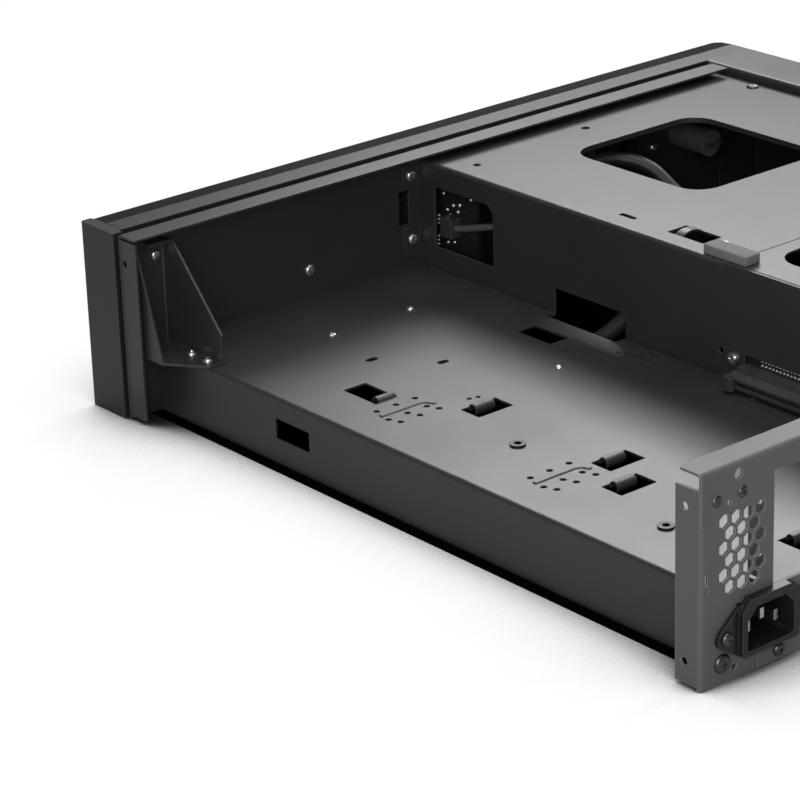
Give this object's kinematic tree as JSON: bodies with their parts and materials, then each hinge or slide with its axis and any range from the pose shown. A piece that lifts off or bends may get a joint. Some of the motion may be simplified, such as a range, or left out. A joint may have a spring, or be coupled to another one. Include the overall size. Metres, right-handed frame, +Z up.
{
  "type": "small form factor computer case",
  "caption": "Slim desktop computer case of folded black steel, covers off, with an open card bay, a riser slot, an inverted board deck and a mains inlet.",
  "frame": {"origin": "middle of the case's footprint, on the surface it rests on; the footprint includes the mains inlet's collar", "axes": "+X towards the card bay's open side, +Y towards the rear plate, +Z up; the front panel faces -Y"},
  "size_m": [0.38, 0.3716, 0.083],
  "materials": {
    "black_steel": "black powder coat, satin",
    "satin_steel": "dark grey coat, satin",
    "front_finish": "black coat, finely brushed",
    "black_plastic": "matt",
    "circuit_board": "black solder mask",
    "bright_steel": "nickel plated",
    "contact_metal": "plated",
    "black_screw": "blackened",
    "lead_sheath": "matt",
    "grey_foam": "matt",
    "clear_lens": "clear"
  },
  "bodies": {
    "chassis": {"rear_plate": "satin_steel", "bay_floor": "black_steel", "divider_deck": "black_steel", "board_tray": "black_steel", "front_wall": "black_steel", "front_panel": "front_finish", "end_cap": "front_finish", "side_rail": "black_steel", "corner_gusset": "black_steel", "riser_board": "circuit_board", "riser_slot": "black_plastic", "riser_screws": "bright_steel", "mains_inlet": "black_plastic", "inlet_pins": "contact_metal", "inlet_screws": "black_screw", "power_lead": "lead_sheath", "lead_socket": "lead_sheath", "lead_clip": "black_plastic", "cover_pad": "grey_foam", "board_standoffs": "bright_steel", "io_board": "circuit_board", "usb_ports": "bright_steel", "audio_jacks": "black_plastic", "power_switch": "black_plastic", "switch_pins": "bright_steel", "reset_switch": "black_plastic", "status_lens": "clear_lens", "panel_lead": "lead_sheath", "panel_plug": "black_plastic", "gusset_screws": "bright_steel", "floor_screws": "bright_steel", "floor_nuts": "black_screw", "front_screws": "bright_steel", "rear_screws": "black_screw", "deck_screws": "black_screw"},
    "latch": {"riser_latch": "black_plastic"},
    "power_key": {"power_button": "front_finish"},
    "reset_key": {"reset_button": "front_finish"}
  },
  "joints": [
    {"name": "riser_latch_turn", "type": "hinge", "parent": "chassis", "child": "latch", "pos_m": [0.0297, 0.0458, 0.0344], "axis": [0, 0, -1], "range_deg": [0, 25]},
    {"name": "power_button_press", "type": "slide", "parent": "chassis", "child": "power_key", "axis": [0, 1, 0], "range_m": [0, 0.0012], "stiffness_N_per_m": 600, "springref_m": -0.0008},
    {"name": "reset_button_press", "type": "slide", "parent": "chassis", "child": "reset_key", "axis": [0, 1, 0], "range_m": [0, 0.001], "stiffness_N_per_m": 500, "springref_m": -0.0008}
  ]
}
